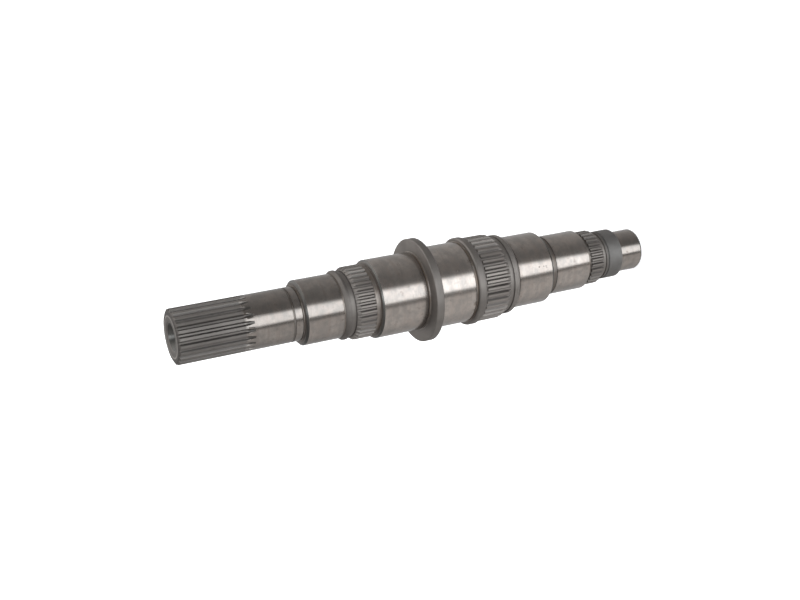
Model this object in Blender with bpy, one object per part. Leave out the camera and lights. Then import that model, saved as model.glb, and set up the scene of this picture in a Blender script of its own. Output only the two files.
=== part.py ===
"""Gearbox output shaft, turned, splined and ground from one forging.

Metres, +Z up. The shaft stands on its pilot end: the origin is the centre of that end face, and its axis
is +Z. One closed body is turned from a stack of sections, each with its own diameter and length, with a
centre hole in both ends. The tooth gaps of the four splines are then cut out of it with Boolean modifiers.
"""
import math
from collections import namedtuple

import bmesh
import bpy

MM = 0.001

# From the pilot end to the nose end
SHAFT_LENGTH = 307.0 * MM

# Sections from the pilot end up: diameters and lengths; the nose takes the length that is left
PILOT_DIAMETER = 25.8 * MM
PILOT_LENGTH = 16.7 * MM
NUT_SEAT_DIAMETER = 30.6 * MM
NUT_SEAT_LENGTH = 9.9 * MM
NUT_UNDERCUT_DIAMETER = 29.8 * MM
NUT_UNDERCUT_LENGTH = 1.0 * MM
SMALL_LAND_DIAMETER = 30.5 * MM
SMALL_LAND_LENGTH = 1.1 * MM
SMALL_RING_GROOVE_DIAMETER = 29.2 * MM
SMALL_RING_GROOVE_LENGTH = 2.8 * MM
SMALL_HUB_DIAMETER = 33.9 * MM
SMALL_HUB_LENGTH = 9.3 * MM
SMALL_HUB_RELIEF_LENGTH = 3.1 * MM
LOWEST_JOURNAL_DIAMETER = 36.9 * MM
LOWEST_JOURNAL_LENGTH = 23.8 * MM
LOWEST_UNDERCUT_LENGTH = 4.2 * MM
LOW_JOURNAL_DIAMETER = 44.2 * MM
LOW_JOURNAL_LENGTH = 24.5 * MM
LOW_UNDERCUT_LENGTH = 1.4 * MM
MIDDLE_LAND_DIAMETER = 49.0 * MM
MIDDLE_LAND_LENGTH = 3.7 * MM
MIDDLE_RING_GROOVE_DIAMETER = 47.4 * MM
MIDDLE_RING_GROOVE_LENGTH = 3.1 * MM
MIDDLE_HUB_DIAMETER = 51.8 * MM
MIDDLE_HUB_LENGTH = 16.4 * MM
MIDDLE_HUB_RELIEF_LENGTH = 0.8 * MM
THRUST_RING_DIAMETER = 53.6 * MM
THRUST_RING_LENGTH = 5.1 * MM
MIDDLE_UNDERCUT_LENGTH = 1.3 * MM
MIDDLE_JOURNAL_DIAMETER = 49.3 * MM
MIDDLE_JOURNAL_LENGTH = 24.7 * MM
COLLAR_DIAMETER = 62.3 * MM
COLLAR_LENGTH = 4.9 * MM
HIGH_UNDERCUT_LENGTH = 1.5 * MM
HIGH_JOURNAL_DIAMETER = 46.9 * MM
HIGH_JOURNAL_LENGTH = 29.1 * MM
HIGH_HUB_RELIEF_LENGTH = 3.2 * MM
HIGH_HUB_DIAMETER = 43.2 * MM
HIGH_HUB_LENGTH = 11.9 * MM
HIGH_RING_GROOVE_DIAMETER = 38.4 * MM
HIGH_RING_GROOVE_LENGTH = 3.3 * MM
HIGH_LAND_DIAMETER = 41.1 * MM
HIGH_LAND_LENGTH = 1.3 * MM
SECOND_RAMP_LENGTH = 1.9 * MM
SECOND_UNDERCUT_LENGTH = 0.9 * MM
SECOND_JOURNAL_DIAMETER = 38.2 * MM
SECOND_JOURNAL_LENGTH = 22.8 * MM
FIRST_UNDERCUT_LENGTH = 1.0 * MM
FIRST_JOURNAL_DIAMETER = 31.8 * MM
FIRST_JOURNAL_LENGTH = 4.5 * MM
OIL_GROOVE_LENGTH = 1.0 * MM
OIL_GROOVE_DEPTH = 0.25 * MM

# An undercut at the root of a ground journal is this much smaller in radius than the journal
UNDERCUT_DEPTH = 0.3 * MM
# A hub spline's relief lies this far below the roots of its teeth, so that the hob runs out in air
RELIEF_CLEARANCE = 0.1 * MM

# Chamfers: their length along the axis and their depth in radius
EDGE_CHAMFER_LENGTH = 0.4 * MM
EDGE_CHAMFER_DEPTH = 0.4 * MM
PILOT_CHAMFER_LENGTH = 1.2 * MM
PILOT_CHAMFER_DEPTH = 0.7 * MM
SMALL_HUB_CHAMFER_LENGTH = 1.2 * MM
SMALL_HUB_CHAMFER_DEPTH = 0.9 * MM
LOW_JOURNAL_CHAMFER_LENGTH = 1.5 * MM
LOW_JOURNAL_CHAMFER_DEPTH = 1.2 * MM
MIDDLE_LAND_CHAMFER_LENGTH = 1.1 * MM
MIDDLE_LAND_CHAMFER_DEPTH = 0.6 * MM
MIDDLE_HUB_CHAMFER_LENGTH = 2.2 * MM
MIDDLE_HUB_CHAMFER_DEPTH = 1.2 * MM
THRUST_LEAD_IN_LENGTH = 1.4 * MM
THRUST_LEAD_IN_DEPTH = 0.5 * MM
THRUST_CHAMFER_LENGTH = 0.7 * MM
THRUST_CHAMFER_DEPTH = 0.7 * MM
HIGH_JOURNAL_CHAMFER_LENGTH = 0.9 * MM
HIGH_JOURNAL_CHAMFER_DEPTH = 0.8 * MM
HIGH_HUB_CHAMFER_LENGTH = 2.1 * MM
HIGH_HUB_CHAMFER_DEPTH = 1.6 * MM
SECOND_JOURNAL_CHAMFER_LENGTH = 1.1 * MM
SECOND_JOURNAL_CHAMFER_DEPTH = 1.2 * MM
NOSE_CHAMFER_LENGTH = 0.9 * MM
NOSE_CHAMFER_DEPTH = 1.9 * MM

# Splines: number of teeth, height of a tooth, and the first gap's turn about +Z from -Y
SMALL_TEETH = 31
SMALL_TOOTH_HEIGHT = 1.1 * MM
SMALL_FIRST_GAP = math.radians(7.6)
MIDDLE_TEETH = 38
MIDDLE_TOOTH_HEIGHT = 1.5 * MM
MIDDLE_FIRST_GAP = math.radians(5.4)
HIGH_TEETH = 38
HIGH_TOOTH_HEIGHT = 1.15 * MM
HIGH_FIRST_GAP = math.radians(3.5)
NOSE_TEETH = 23
NOSE_TOOTH_HEIGHT = 1.2 * MM
NOSE_FIRST_GAP = math.radians(-2.0)
PRESSURE_ANGLE = math.radians(30.0)
# A gap's share of the pitch, halfway up the teeth
HUB_GAP_SHARE = 0.5
NOSE_GAP_SHARE = 0.46
# Where the nose's gaps fade out below its teeth, and the radius of the hob that leaves the curve
NOSE_SPLINE_LENGTH = 44.1 * MM
HOB_RADIUS = 27.0 * MM

# Centre holes: a 120 degree guard chamfer, a 60 degree cone and a drilled bottom
NOSE_HOLE_MOUTH_DIAMETER = 18.0 * MM
NOSE_HOLE_CONE_DIAMETER = 16.0 * MM
NOSE_DRILL_DIAMETER = 8.0 * MM
NOSE_DRILL_DEPTH = 20.0 * MM
PILOT_HOLE_MOUTH_DIAMETER = 11.6 * MM
PILOT_HOLE_CONE_DIAMETER = 10.6 * MM
PILOT_DRILL_DIAMETER = 5.0 * MM
PILOT_DRILL_DEPTH = 11.0 * MM
GUARD_SLOPE = math.radians(60.0)
CONE_SLOPE = math.radians(30.0)
DRILL_POINT_SLOPE = math.radians(59.0)

# Facets
SEGMENTS = 48
RUN_OUT_STEPS = 3
CUTTER_MARGIN = 0.4 * MM

# Finish: ground steel, a little warm
STEEL_COLOUR = (0.40, 0.385, 0.37, 1.0)
STEEL_ROUGHNESS = 0.32

Chamfer = namedtuple("Chamfer", "length depth")
Section = namedtuple("Section", "diameter length low high")

SQUARE = Chamfer(0.0, 0.0)
EDGE_CHAMFER = Chamfer(EDGE_CHAMFER_LENGTH, EDGE_CHAMFER_DEPTH)
PILOT_CHAMFER = Chamfer(PILOT_CHAMFER_LENGTH, PILOT_CHAMFER_DEPTH)
SMALL_HUB_CHAMFER = Chamfer(SMALL_HUB_CHAMFER_LENGTH, SMALL_HUB_CHAMFER_DEPTH)
LOW_JOURNAL_CHAMFER = Chamfer(LOW_JOURNAL_CHAMFER_LENGTH, LOW_JOURNAL_CHAMFER_DEPTH)
MIDDLE_LAND_CHAMFER = Chamfer(MIDDLE_LAND_CHAMFER_LENGTH, MIDDLE_LAND_CHAMFER_DEPTH)
MIDDLE_HUB_CHAMFER = Chamfer(MIDDLE_HUB_CHAMFER_LENGTH, MIDDLE_HUB_CHAMFER_DEPTH)
THRUST_LEAD_IN = Chamfer(THRUST_LEAD_IN_LENGTH, THRUST_LEAD_IN_DEPTH)
THRUST_CHAMFER = Chamfer(THRUST_CHAMFER_LENGTH, THRUST_CHAMFER_DEPTH)
HIGH_JOURNAL_CHAMFER = Chamfer(HIGH_JOURNAL_CHAMFER_LENGTH, HIGH_JOURNAL_CHAMFER_DEPTH)
HIGH_HUB_CHAMFER = Chamfer(HIGH_HUB_CHAMFER_LENGTH, HIGH_HUB_CHAMFER_DEPTH)
SECOND_JOURNAL_CHAMFER = Chamfer(SECOND_JOURNAL_CHAMFER_LENGTH, SECOND_JOURNAL_CHAMFER_DEPTH)
NOSE_CHAMFER = Chamfer(NOSE_CHAMFER_LENGTH, NOSE_CHAMFER_DEPTH)


def undercut(diameter, length):
    """The narrow groove at the root of a ground journal of this diameter."""
    return Section(diameter - 2 * UNDERCUT_DEPTH, length, SQUARE, SQUARE)


def hub_relief(hub_diameter, tooth_height, length):
    """The plain groove beside a hub spline, just under the roots of its teeth."""
    return Section(hub_diameter - 2 * (tooth_height + RELIEF_CLEARANCE), length, SQUARE, SQUARE)


def shaft_sections():
    """Every section by name, from the pilot end up to the nose, which fills the shaft's length."""
    ramp_depth = (HIGH_LAND_DIAMETER - SECOND_JOURNAL_DIAMETER) / 2
    sections = {
        "pilot": Section(PILOT_DIAMETER, PILOT_LENGTH, PILOT_CHAMFER, SQUARE),
        "nut_seat": Section(NUT_SEAT_DIAMETER, NUT_SEAT_LENGTH, EDGE_CHAMFER, SQUARE),
        "nut_undercut": Section(NUT_UNDERCUT_DIAMETER, NUT_UNDERCUT_LENGTH, SQUARE, SQUARE),
        "small_land": Section(SMALL_LAND_DIAMETER, SMALL_LAND_LENGTH, SQUARE, SQUARE),
        "small_ring_groove": Section(SMALL_RING_GROOVE_DIAMETER, SMALL_RING_GROOVE_LENGTH,
                                     SQUARE, SQUARE),
        "small_hub": Section(SMALL_HUB_DIAMETER, SMALL_HUB_LENGTH, SMALL_HUB_CHAMFER, SQUARE),
        "small_relief": hub_relief(SMALL_HUB_DIAMETER, SMALL_TOOTH_HEIGHT, SMALL_HUB_RELIEF_LENGTH),
        "lowest_journal": Section(LOWEST_JOURNAL_DIAMETER, LOWEST_JOURNAL_LENGTH, SQUARE, SQUARE),
        "lowest_undercut": undercut(LOWEST_JOURNAL_DIAMETER, LOWEST_UNDERCUT_LENGTH),
        "low_journal": Section(LOW_JOURNAL_DIAMETER, LOW_JOURNAL_LENGTH, LOW_JOURNAL_CHAMFER, SQUARE),
        "low_undercut": undercut(LOW_JOURNAL_DIAMETER, LOW_UNDERCUT_LENGTH),
        "middle_land": Section(MIDDLE_LAND_DIAMETER, MIDDLE_LAND_LENGTH, MIDDLE_LAND_CHAMFER, SQUARE),
        "middle_ring_groove": Section(MIDDLE_RING_GROOVE_DIAMETER, MIDDLE_RING_GROOVE_LENGTH,
                                      SQUARE, SQUARE),
        "middle_hub": Section(MIDDLE_HUB_DIAMETER, MIDDLE_HUB_LENGTH, MIDDLE_HUB_CHAMFER, SQUARE),
        "middle_relief": hub_relief(MIDDLE_HUB_DIAMETER, MIDDLE_TOOTH_HEIGHT, MIDDLE_HUB_RELIEF_LENGTH),
        "thrust_ring": Section(THRUST_RING_DIAMETER, THRUST_RING_LENGTH, THRUST_LEAD_IN, THRUST_CHAMFER),
        "middle_undercut": undercut(MIDDLE_JOURNAL_DIAMETER, MIDDLE_UNDERCUT_LENGTH),
        "middle_journal": Section(MIDDLE_JOURNAL_DIAMETER, MIDDLE_JOURNAL_LENGTH, SQUARE, SQUARE),
        "collar": Section(COLLAR_DIAMETER, COLLAR_LENGTH, EDGE_CHAMFER, EDGE_CHAMFER),
        "high_undercut": undercut(HIGH_JOURNAL_DIAMETER, HIGH_UNDERCUT_LENGTH),
        "high_journal": Section(HIGH_JOURNAL_DIAMETER, HIGH_JOURNAL_LENGTH, SQUARE, HIGH_JOURNAL_CHAMFER),
        "high_relief": hub_relief(HIGH_HUB_DIAMETER, HIGH_TOOTH_HEIGHT, HIGH_HUB_RELIEF_LENGTH),
        "high_hub": Section(HIGH_HUB_DIAMETER, HIGH_HUB_LENGTH, SQUARE, HIGH_HUB_CHAMFER),
        "high_ring_groove": Section(HIGH_RING_GROOVE_DIAMETER, HIGH_RING_GROOVE_LENGTH, SQUARE, SQUARE),
        "high_land": Section(HIGH_LAND_DIAMETER, HIGH_LAND_LENGTH + SECOND_RAMP_LENGTH, SQUARE,
                             Chamfer(SECOND_RAMP_LENGTH, ramp_depth)),
        "second_undercut": undercut(SECOND_JOURNAL_DIAMETER, SECOND_UNDERCUT_LENGTH),
        "second_journal": Section(SECOND_JOURNAL_DIAMETER, SECOND_JOURNAL_LENGTH, SQUARE,
                                  SECOND_JOURNAL_CHAMFER),
        "first_undercut": undercut(FIRST_JOURNAL_DIAMETER, FIRST_UNDERCUT_LENGTH),
        "first_journal": Section(FIRST_JOURNAL_DIAMETER, FIRST_JOURNAL_LENGTH, SQUARE, SQUARE),
        "oil_groove": Section(FIRST_JOURNAL_DIAMETER - 2 * OIL_GROOVE_DEPTH, OIL_GROOVE_LENGTH,
                              SQUARE, SQUARE),
    }
    nose_length = SHAFT_LENGTH - sum(section.length for section in sections.values())
    sections["nose"] = Section(FIRST_JOURNAL_DIAMETER, nose_length, SQUARE, NOSE_CHAMFER)
    return sections


def section_levels(sections):
    """The lower and upper end of each section along the axis."""
    levels = {}
    height = 0.0
    for name, section in sections.items():
        levels[name] = (height, height + section.length)
        height += section.length
    return levels


def section_outline(section, bottom, top):
    """Radius and height of a section's outer side, going up, with its end chamfers."""
    radius = section.diameter / 2
    points = []
    if section.low.length > 0:
        points.append((radius - section.low.depth, bottom))
    points.append((radius, bottom + section.low.length))
    points.append((radius, top - section.high.length))
    if section.high.length > 0:
        points.append((radius - section.high.depth, top))
    return points


def centre_hole_outline(mouth_diameter, cone_diameter, drill_diameter, drill_depth):
    """Radius and depth of a centre hole, from its rim to the tip of its drilled bottom on the axis."""
    mouth, cone, drill = mouth_diameter / 2, cone_diameter / 2, drill_diameter / 2
    guard_depth = (mouth - cone) / math.tan(GUARD_SLOPE)
    cone_depth = guard_depth + (cone - drill) / math.tan(CONE_SLOPE)
    tip_depth = drill_depth + drill / math.tan(DRILL_POINT_SLOPE)
    return [(mouth, 0.0), (cone, guard_depth), (drill, cone_depth), (drill, drill_depth),
            (0.0, tip_depth)]


def shaft_outline(sections, levels):
    """The half section: out of the pilot's centre hole, up the outer side and into the nose's hole."""
    pilot_hole = centre_hole_outline(PILOT_HOLE_MOUTH_DIAMETER, PILOT_HOLE_CONE_DIAMETER,
                                     PILOT_DRILL_DIAMETER, PILOT_DRILL_DEPTH)
    nose_hole = centre_hole_outline(NOSE_HOLE_MOUTH_DIAMETER, NOSE_HOLE_CONE_DIAMETER,
                                    NOSE_DRILL_DIAMETER, NOSE_DRILL_DEPTH)
    nose_end = levels["nose"][1]
    outline = list(reversed(pilot_hole))
    for name, section in sections.items():
        for point in section_outline(section, *levels[name]):
            if point != outline[-1]:
                outline.append(point)
    outline += [(radius, nose_end - depth) for radius, depth in nose_hole]
    return outline


def turned_body(outline):
    """The outline spun once round Z into one closed mesh."""
    bm = bmesh.new()
    verts = [bm.verts.new((radius, 0.0, height)) for radius, height in outline]
    edges = [bm.edges.new(pair) for pair in zip(verts, verts[1:])]
    bmesh.ops.spin(bm, geom=verts + edges, cent=(0.0, 0.0, 0.0), axis=(0.0, 0.0, 1.0),
                   angle=2 * math.pi, steps=SEGMENTS, use_merge=True)
    bmesh.ops.remove_doubles(bm, verts=bm.verts, dist=0.001 * MM)
    bmesh.ops.recalc_face_normals(bm, faces=bm.faces)
    mesh = bpy.data.meshes.new("output_shaft")
    bm.to_mesh(mesh)
    bm.free()
    return mesh


def involute(angle):
    """The involute of a pressure angle: tan a - a."""
    return math.tan(angle) - angle


def gap_section(crest_radius, tooth_height, teeth, gap_share):
    """Half of a tooth gap's cross section, as radius and half angle, from its floor to clear of the crests.

    The flanks are involutes of the circle whose tangent makes the pressure angle halfway up the teeth.
    """
    root_radius = crest_radius - tooth_height
    pitch_radius = crest_radius - tooth_height / 2
    base_radius = pitch_radius * math.cos(PRESSURE_ANGLE)
    half_gap = math.pi / teeth * gap_share
    section = []
    for radius in (root_radius, pitch_radius, crest_radius + CUTTER_MARGIN):
        angle_here = math.acos(min(1.0, base_radius / radius))
        section.append((radius, half_gap + involute(angle_here) - involute(PRESSURE_ANGLE)))
    return section


def gap_ring(section, height, lift):
    """One closed ring of points round a gap's cross section at a height, moved outwards by lift.

    The gap faces +X. Its two flanks keep their distance from its middle plane as it is lifted.
    """
    side = [(radius * math.cos(half) + lift, radius * math.sin(half), height) for radius, half in section]
    return [(x, -y, z) for x, y, z in side] + list(reversed(side))


def spline_cutter(name, section, stations, teeth, first_gap):
    """All the gaps of one spline: the cross section lofted through its stations, then turned round Z."""
    bm = bmesh.new()
    for index in range(teeth):
        turn = -math.pi / 2 + first_gap + 2 * math.pi * index / teeth
        cosine, sine = math.cos(turn), math.sin(turn)
        rings = []
        for height, lift in stations:
            ring = gap_ring(section, height, lift)
            rings.append([bm.verts.new((x * cosine - y * sine, x * sine + y * cosine, z))
                          for x, y, z in ring])
        count = len(rings[0])
        for low, high in zip(rings, rings[1:]):
            for i in range(count):
                j = (i + 1) % count
                bm.faces.new((low[i], low[j], high[j], high[i]))
        bm.faces.new(list(reversed(rings[0])))
        bm.faces.new(rings[-1])
    bmesh.ops.recalc_face_normals(bm, faces=bm.faces)
    mesh = bpy.data.meshes.new(name)
    bm.to_mesh(mesh)
    bm.free()
    cutter = bpy.data.objects.new(name, mesh)
    cutter.hide_render = True
    cutter.display_type = "WIRE"
    bpy.context.scene.collection.objects.link(cutter)
    return cutter


def hub_cutter(name, hub, below, above, levels, tooth_height, teeth, first_gap, diameter):
    """A hub spline's gaps, cut right through from the middle of the groove below to that of the one above."""
    section = gap_section(diameter / 2, tooth_height, teeth, HUB_GAP_SHARE)
    stations = [(sum(levels[below]) / 2, 0.0), (sum(levels[above]) / 2, 0.0)]
    return spline_cutter(name, section, stations, teeth, first_gap)


def nose_cutter(levels):
    """The nose's gaps: open at the end face, and lifting out of the shaft along the hob's arc below."""
    section = gap_section(FIRST_JOURNAL_DIAMETER / 2, NOSE_TOOTH_HEIGHT, NOSE_TEETH, NOSE_GAP_SHARE)
    nose_end = levels["nose"][1]
    fade_out = nose_end - NOSE_SPLINE_LENGTH
    run_out = math.sqrt(2 * HOB_RADIUS * NOSE_TOOTH_HEIGHT - NOSE_TOOTH_HEIGHT ** 2)
    full_depth = fade_out + run_out
    reach = math.sqrt(2 * HOB_RADIUS * (NOSE_TOOTH_HEIGHT + CUTTER_MARGIN))
    stations = []
    for step in range(RUN_OUT_STEPS + 1):
        back = reach * (1 - step / RUN_OUT_STEPS)
        lift = HOB_RADIUS - math.sqrt(HOB_RADIUS ** 2 - back ** 2)
        stations.append((full_depth - back, lift))
    stations.append((nose_end + CUTTER_MARGIN, 0.0))
    return spline_cutter("nose_gaps", section, stations, NOSE_TEETH, NOSE_FIRST_GAP)


def spline_cutters(levels):
    """The four sets of tooth gaps."""
    return [
        hub_cutter("small_gaps", "small_hub", "small_ring_groove", "small_relief", levels,
                   SMALL_TOOTH_HEIGHT, SMALL_TEETH, SMALL_FIRST_GAP, SMALL_HUB_DIAMETER),
        hub_cutter("middle_gaps", "middle_hub", "middle_ring_groove", "middle_relief", levels,
                   MIDDLE_TOOTH_HEIGHT, MIDDLE_TEETH, MIDDLE_FIRST_GAP, MIDDLE_HUB_DIAMETER),
        hub_cutter("high_gaps", "high_hub", "high_relief", "high_ring_groove", levels,
                   HIGH_TOOTH_HEIGHT, HIGH_TEETH, HIGH_FIRST_GAP, HIGH_HUB_DIAMETER),
        nose_cutter(levels),
    ]


def steel_material():
    """Ground steel."""
    material = bpy.data.materials.new("ground_steel")
    material.use_nodes = True
    shader = material.node_tree.nodes["Principled BSDF"]
    shader.inputs["Base Color"].default_value = STEEL_COLOUR
    shader.inputs["Metallic"].default_value = 1.0
    shader.inputs["Roughness"].default_value = STEEL_ROUGHNESS
    return material


def build_output_shaft():
    """The shaft: the turned body with its splines cut."""
    sections = shaft_sections()
    levels = section_levels(sections)
    mesh = turned_body(shaft_outline(sections, levels))
    mesh.shade_smooth()
    mesh.set_sharp_from_angle(angle=math.radians(20.0))
    mesh.materials.append(steel_material())
    shaft = bpy.data.objects.new("output_shaft", mesh)
    bpy.context.scene.collection.objects.link(shaft)
    for cutter in spline_cutters(levels):
        cut = shaft.modifiers.new(cutter.name, "BOOLEAN")
        cut.operation = "DIFFERENCE"
        cut.solver = "EXACT"
        cut.object = cutter
    return shaft


def main():
    for old in list(bpy.data.objects):
        bpy.data.objects.remove(old, do_unlink=True)
    build_output_shaft()


main()
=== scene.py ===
"""Gearbox output shaft: the fine surface, the steel and the studio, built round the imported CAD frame.

The shaft is one turned, splined and ground forging, so one closed surface replaces the CAD node. Its half
section is a list of corners with their roundings, carried round the axis; the splines push each ring of
points inwards along their tooth gaps.
"""
import math
from collections import namedtuple

import bpy
import numpy as np
from bpy.props import FloatProperty, FloatVectorProperty, IntProperty, PointerProperty
from mathutils import Matrix, Vector


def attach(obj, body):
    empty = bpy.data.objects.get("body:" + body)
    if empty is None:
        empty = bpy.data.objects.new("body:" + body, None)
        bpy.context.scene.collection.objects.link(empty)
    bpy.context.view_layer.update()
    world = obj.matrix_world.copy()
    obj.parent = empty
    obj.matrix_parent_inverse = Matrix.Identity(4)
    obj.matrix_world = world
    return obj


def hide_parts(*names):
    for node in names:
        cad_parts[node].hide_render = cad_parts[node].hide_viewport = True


bl_info = {
    "name": "Gearbox Output Shaft",
    "version": (1, 0, 0),
    "blender": (4, 5, 0),
    "location": "3D View > Sidebar > Output Shaft",
    "description": "Builds a gearbox output shaft with splines, ground journals and its studio",
    "category": "Object",
}

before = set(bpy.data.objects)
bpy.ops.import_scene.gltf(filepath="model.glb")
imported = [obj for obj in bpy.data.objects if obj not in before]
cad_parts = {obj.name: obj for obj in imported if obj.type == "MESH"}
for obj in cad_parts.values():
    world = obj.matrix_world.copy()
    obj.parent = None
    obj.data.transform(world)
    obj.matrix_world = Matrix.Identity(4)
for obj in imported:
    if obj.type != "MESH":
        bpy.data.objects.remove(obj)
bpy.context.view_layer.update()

MM = 0.001
NODE = "output_shaft"


def size(default_mm, name, description):
    """A length property, given in millimetres and kept in metres."""
    return FloatProperty(name=name, description=description, default=default_mm * MM, min=0.0,
                         unit="LENGTH", precision=4)


def chamfer(length_mm, depth_mm, name):
    """A chamfer's length along the axis and its depth in radius, given in millimetres."""
    return FloatVectorProperty(name=name, description="Length along the axis, and depth in radius", size=2,
                               default=(length_mm * MM, depth_mm * MM), min=0.0, unit="LENGTH", precision=4)


def count(default, name, description):
    """A whole number of teeth."""
    return IntProperty(name=name, description=description, default=default, min=6)


def angle(default_degrees, name, description):
    """An angle property, given in degrees and kept in radians."""
    return FloatProperty(name=name, description=description, default=math.radians(default_degrees),
                         unit="ROTATION")


def colour(default, name, description):
    """A scene-linear colour property."""
    return FloatVectorProperty(name=name, description=description, default=default, size=3, subtype="COLOR",
                               min=0.0, max=1.0)


def radiance(default, name, description):
    """A brightness of the studio."""
    return FloatProperty(name=name, description=description, default=default, min=0.0)


def section_sizes(name, what, diameter_mm, length_mm):
    """Size properties of a section, by name: no diameter where it follows from other sizes."""
    label = name.replace("_", " ").capitalize()
    sizes = {}
    if diameter_mm is not None:
        sizes[f"{name}_diameter"] = size(diameter_mm, f"{label} diameter", f"Across the {what}")
    sizes[f"{name}_length"] = size(length_mm, f"{label} length", f"Along the {what}")
    return sizes


def tooth_sizes(name, what, teeth, height_mm, first_gap_degrees):
    """Properties of a spline's teeth, by name."""
    label = what.capitalize()
    return {
        f"{name}_teeth": count(teeth, f"{label} teeth", f"Teeth of the {what} spline"),
        f"{name}_tooth_height": size(height_mm, f"{label} tooth height", "Height of its teeth"),
        f"{name}_first_gap": angle(first_gap_degrees, f"{label} first gap",
                                   "Turn of its first gap about +Z from -Y"),
    }


def hole_sizes(end, mouth_mm, cone_mm, drill_mm, depth_mm):
    """Size properties of an end's centre hole, by name."""
    label = f"{end.capitalize()} hole"
    return {
        f"{end}_mouth_diameter": size(mouth_mm, f"{label} mouth", "Across its guard chamfer"),
        f"{end}_cone_diameter": size(cone_mm, f"{label} cone", "Across the mouth of its 60 degree cone"),
        f"{end}_drill_diameter": size(drill_mm, f"{label} drill", "Across its drilled bottom"),
        f"{end}_drill_depth": size(depth_mm, f"{label} depth", "Depth of its drilled bottom"),
    }


class ShaftSizes(bpy.types.PropertyGroup):
    """The whole length, and the sections' diameters and lengths; the nose takes the length that is left."""
    __annotations__ = {
        "shaft_length": size(307.0, "Shaft length", "From the pilot end to the nose end"),
        **section_sizes("pilot", "pilot at the foot", 25.8, 16.7),
        **section_sizes("nut_seat", "dull ring above the pilot", 30.6, 9.9),
        **section_sizes("nut_undercut", "fine groove above the nut seat", 29.8, 1.0),
        **section_sizes("small_land", "land below the small ring groove", 30.5, 1.1),
        **section_sizes("small_groove", "small ring groove's floor", 29.2, 2.8),
        **section_sizes("small_hub", "small hub spline's crests", 33.9, 9.3),
        **section_sizes("small_relief", "groove above the small hub", None, 3.1),
        **section_sizes("lowest_journal", "lowest journal", 36.9, 23.8),
        **section_sizes("lowest_undercut", "lowest journal's undercut", None, 4.2),
        **section_sizes("low_journal", "low journal", 44.2, 24.5),
        **section_sizes("low_undercut", "low journal's undercut", None, 1.4),
        **section_sizes("middle_land", "land below the middle groove", 49.0, 3.7),
        **section_sizes("middle_groove", "middle ring groove's floor", 47.4, 3.1),
        **section_sizes("middle_hub", "middle hub spline's crests", 51.8, 16.4),
        **section_sizes("middle_relief", "groove between hub and ring", None, 0.8),
        **section_sizes("thrust_ring", "thrust ring", 53.6, 5.1),
        **section_sizes("middle_undercut", "middle journal's undercut", None, 1.3),
        **section_sizes("middle_journal", "journal below the collar", 49.3, 24.7),
        **section_sizes("collar", "collar", 62.3, 4.9),
        **section_sizes("high_undercut", "undercut above the collar", None, 1.5),
        **section_sizes("high_journal", "journal above the collar", 46.9, 29.1),
        **section_sizes("high_relief", "groove below the high hub", None, 3.2),
        **section_sizes("high_hub", "high hub spline's crests", 43.2, 11.9),
        **section_sizes("high_groove", "high ring groove's floor", 38.4, 3.3),
        **section_sizes("high_land", "land above the high ring groove", 41.1, 1.3),
        **section_sizes("second_ramp", "ramp from the land to the journal", None, 1.9),
        **section_sizes("second_undercut", "second journal's undercut", None, 0.9),
        **section_sizes("second_journal", "second journal", 38.2, 22.8),
        **section_sizes("first_undercut", "first journal's undercut", None, 1.0),
        "first_journal_diameter": size(31.8, "First journal diameter",
                                       "Across the first journal and the nose"),
        "first_journal_length": size(4.5, "First journal length", "From its undercut to the oil groove"),
        **section_sizes("oil_groove", "shallow groove in the first journal", None, 1.0),
        "oil_groove_depth": size(0.25, "Oil groove depth", "Depth of the groove in the first journal"),
        "undercut_depth": size(0.3, "Undercut depth", "How far the undercuts lie below their journals"),
        "relief_clearance": size(0.1, "Relief clearance", "How far reliefs lie below the hubs' tooth roots"),
    }


class ChamferSizes(bpy.types.PropertyGroup):
    """Chamfers of the sections' ends."""
    edge: chamfer(0.4, 0.4, "Broken edge")
    pilot: chamfer(1.2, 0.7, "Pilot")
    small_hub: chamfer(1.2, 0.9, "Small hub")
    low_journal: chamfer(1.5, 1.2, "Low journal")
    middle_land: chamfer(1.1, 0.6, "Middle land")
    middle_hub: chamfer(2.2, 1.2, "Middle hub")
    thrust_lead_in: chamfer(1.4, 0.5, "Thrust ring, hub side")
    thrust: chamfer(0.7, 0.7, "Thrust ring, nose side")
    high_journal: chamfer(0.9, 0.8, "High journal")
    high_hub: chamfer(2.1, 1.6, "High hub")
    second_journal: chamfer(1.1, 1.2, "Second journal")
    nose: chamfer(0.9, 1.9, "Nose")


class SplineSizes(bpy.types.PropertyGroup):
    """Teeth of the four splines, and the two centre holes."""
    __annotations__ = {
        **tooth_sizes("small", "small hub", 31, 1.1, 7.6),
        **tooth_sizes("middle", "middle hub", 38, 1.5, 5.4),
        **tooth_sizes("high", "high hub", 38, 1.15, 3.5),
        **tooth_sizes("nose", "nose", 23, 1.2, -2.0),
        "nose_spline_length": size(44.1, "Nose spline length", "From the nose end to where its gaps end"),
        "hob_radius": size(27.0, "Hob radius", "Radius of the arc on which the nose's gaps fade out"),
        # A ring of painted shade round a thin painted highlight on the nose's end face
        "nose_ring_diameter": size(24.4, "Nose ring", "Across the worn ring on the nose's end"),
        **hole_sizes("nose", 18.0, 16.0, 8.0, 20.0),
        **hole_sizes("pilot", 11.6, 10.6, 5.0, 11.0),
    }


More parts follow.
